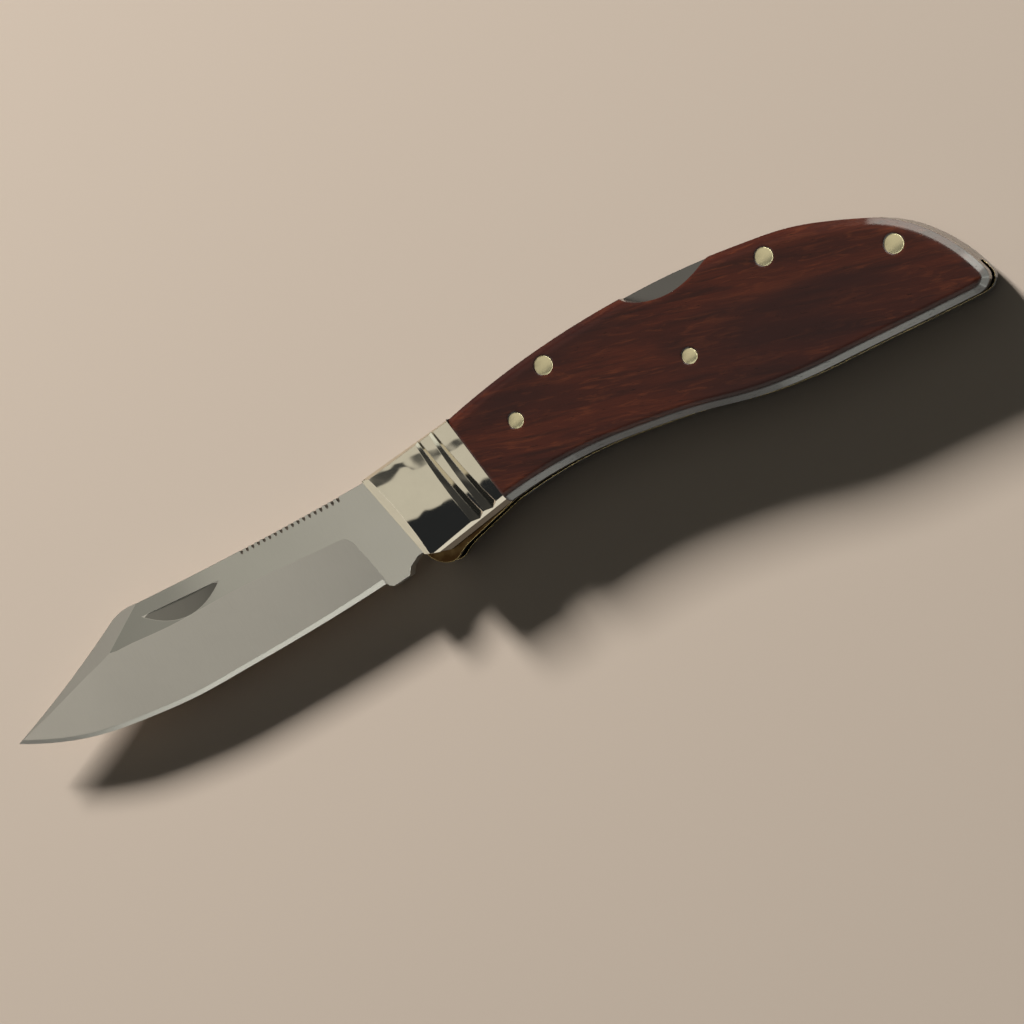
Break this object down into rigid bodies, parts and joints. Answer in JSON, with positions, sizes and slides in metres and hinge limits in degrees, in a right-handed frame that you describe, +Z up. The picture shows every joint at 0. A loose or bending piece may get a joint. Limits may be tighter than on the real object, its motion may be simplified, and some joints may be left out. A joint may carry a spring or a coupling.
{
  "type": "lockback folding knife",
  "caption": "Open lockback folding knife: clip-point steel blade, nickel silver bolsters, rosewood scales pinned through brass liners, and a lock bar pressed at the spine.",
  "frame": {"origin": "on the surface it rests on, under the middle of the open knife's bounding box", "axes": "+X from the blade's point to the butt, +Y towards the spine, +Z up through the left side; the knife is open and lies on its right side"},
  "size_m": [0.223, 0.0348, 0.0132],
  "materials": {
    "blade_steel": "satin ground",
    "spring_steel": "ground and lightly polished",
    "nickel_silver": "polished",
    "brass": "polished",
    "rosewood": "oiled and buffed to a gloss"
  },
  "bodies": {
    "handle": {"lock_spring": "spring_steel", "back_spacer": "spring_steel", "left_liner": "brass", "right_liner": "brass", "left_scale": "rosewood", "right_scale": "rosewood", "left_bolster": "nickel_silver", "right_bolster": "nickel_silver", "left_bolster_rivets": "nickel_silver", "right_bolster_rivets": "nickel_silver", "pivot_pin": "nickel_silver", "lock_bar_pin": "brass", "spacer_front_pin": "brass", "spacer_rear_pin": "brass", "left_front_scale_pin": "brass", "right_front_scale_pin": "brass", "left_middle_scale_pin": "brass", "right_middle_scale_pin": "brass"},
    "blade": {"blade": "blade_steel"},
    "lock_bar": {"lock_bar": "spring_steel"}
  },
  "joints": [
    {"name": "blade_pivot", "type": "hinge", "parent": "handle", "child": "blade", "pos_m": [-0.00397, -0.00174, 0.0065], "axis": [0, 0, 1], "range_deg": [0, 174]},
    {"name": "lock_bar_pivot", "type": "hinge", "parent": "handle", "child": "lock_bar", "pos_m": [0.02783, 0.01186, 0.0065], "axis": [0, 0, -1], "range_deg": [0, 5], "stiffness_Nm_per_rad": 1.5, "springref_deg": -5.73, "deforming": ["lock_spring"]}
  ]
}
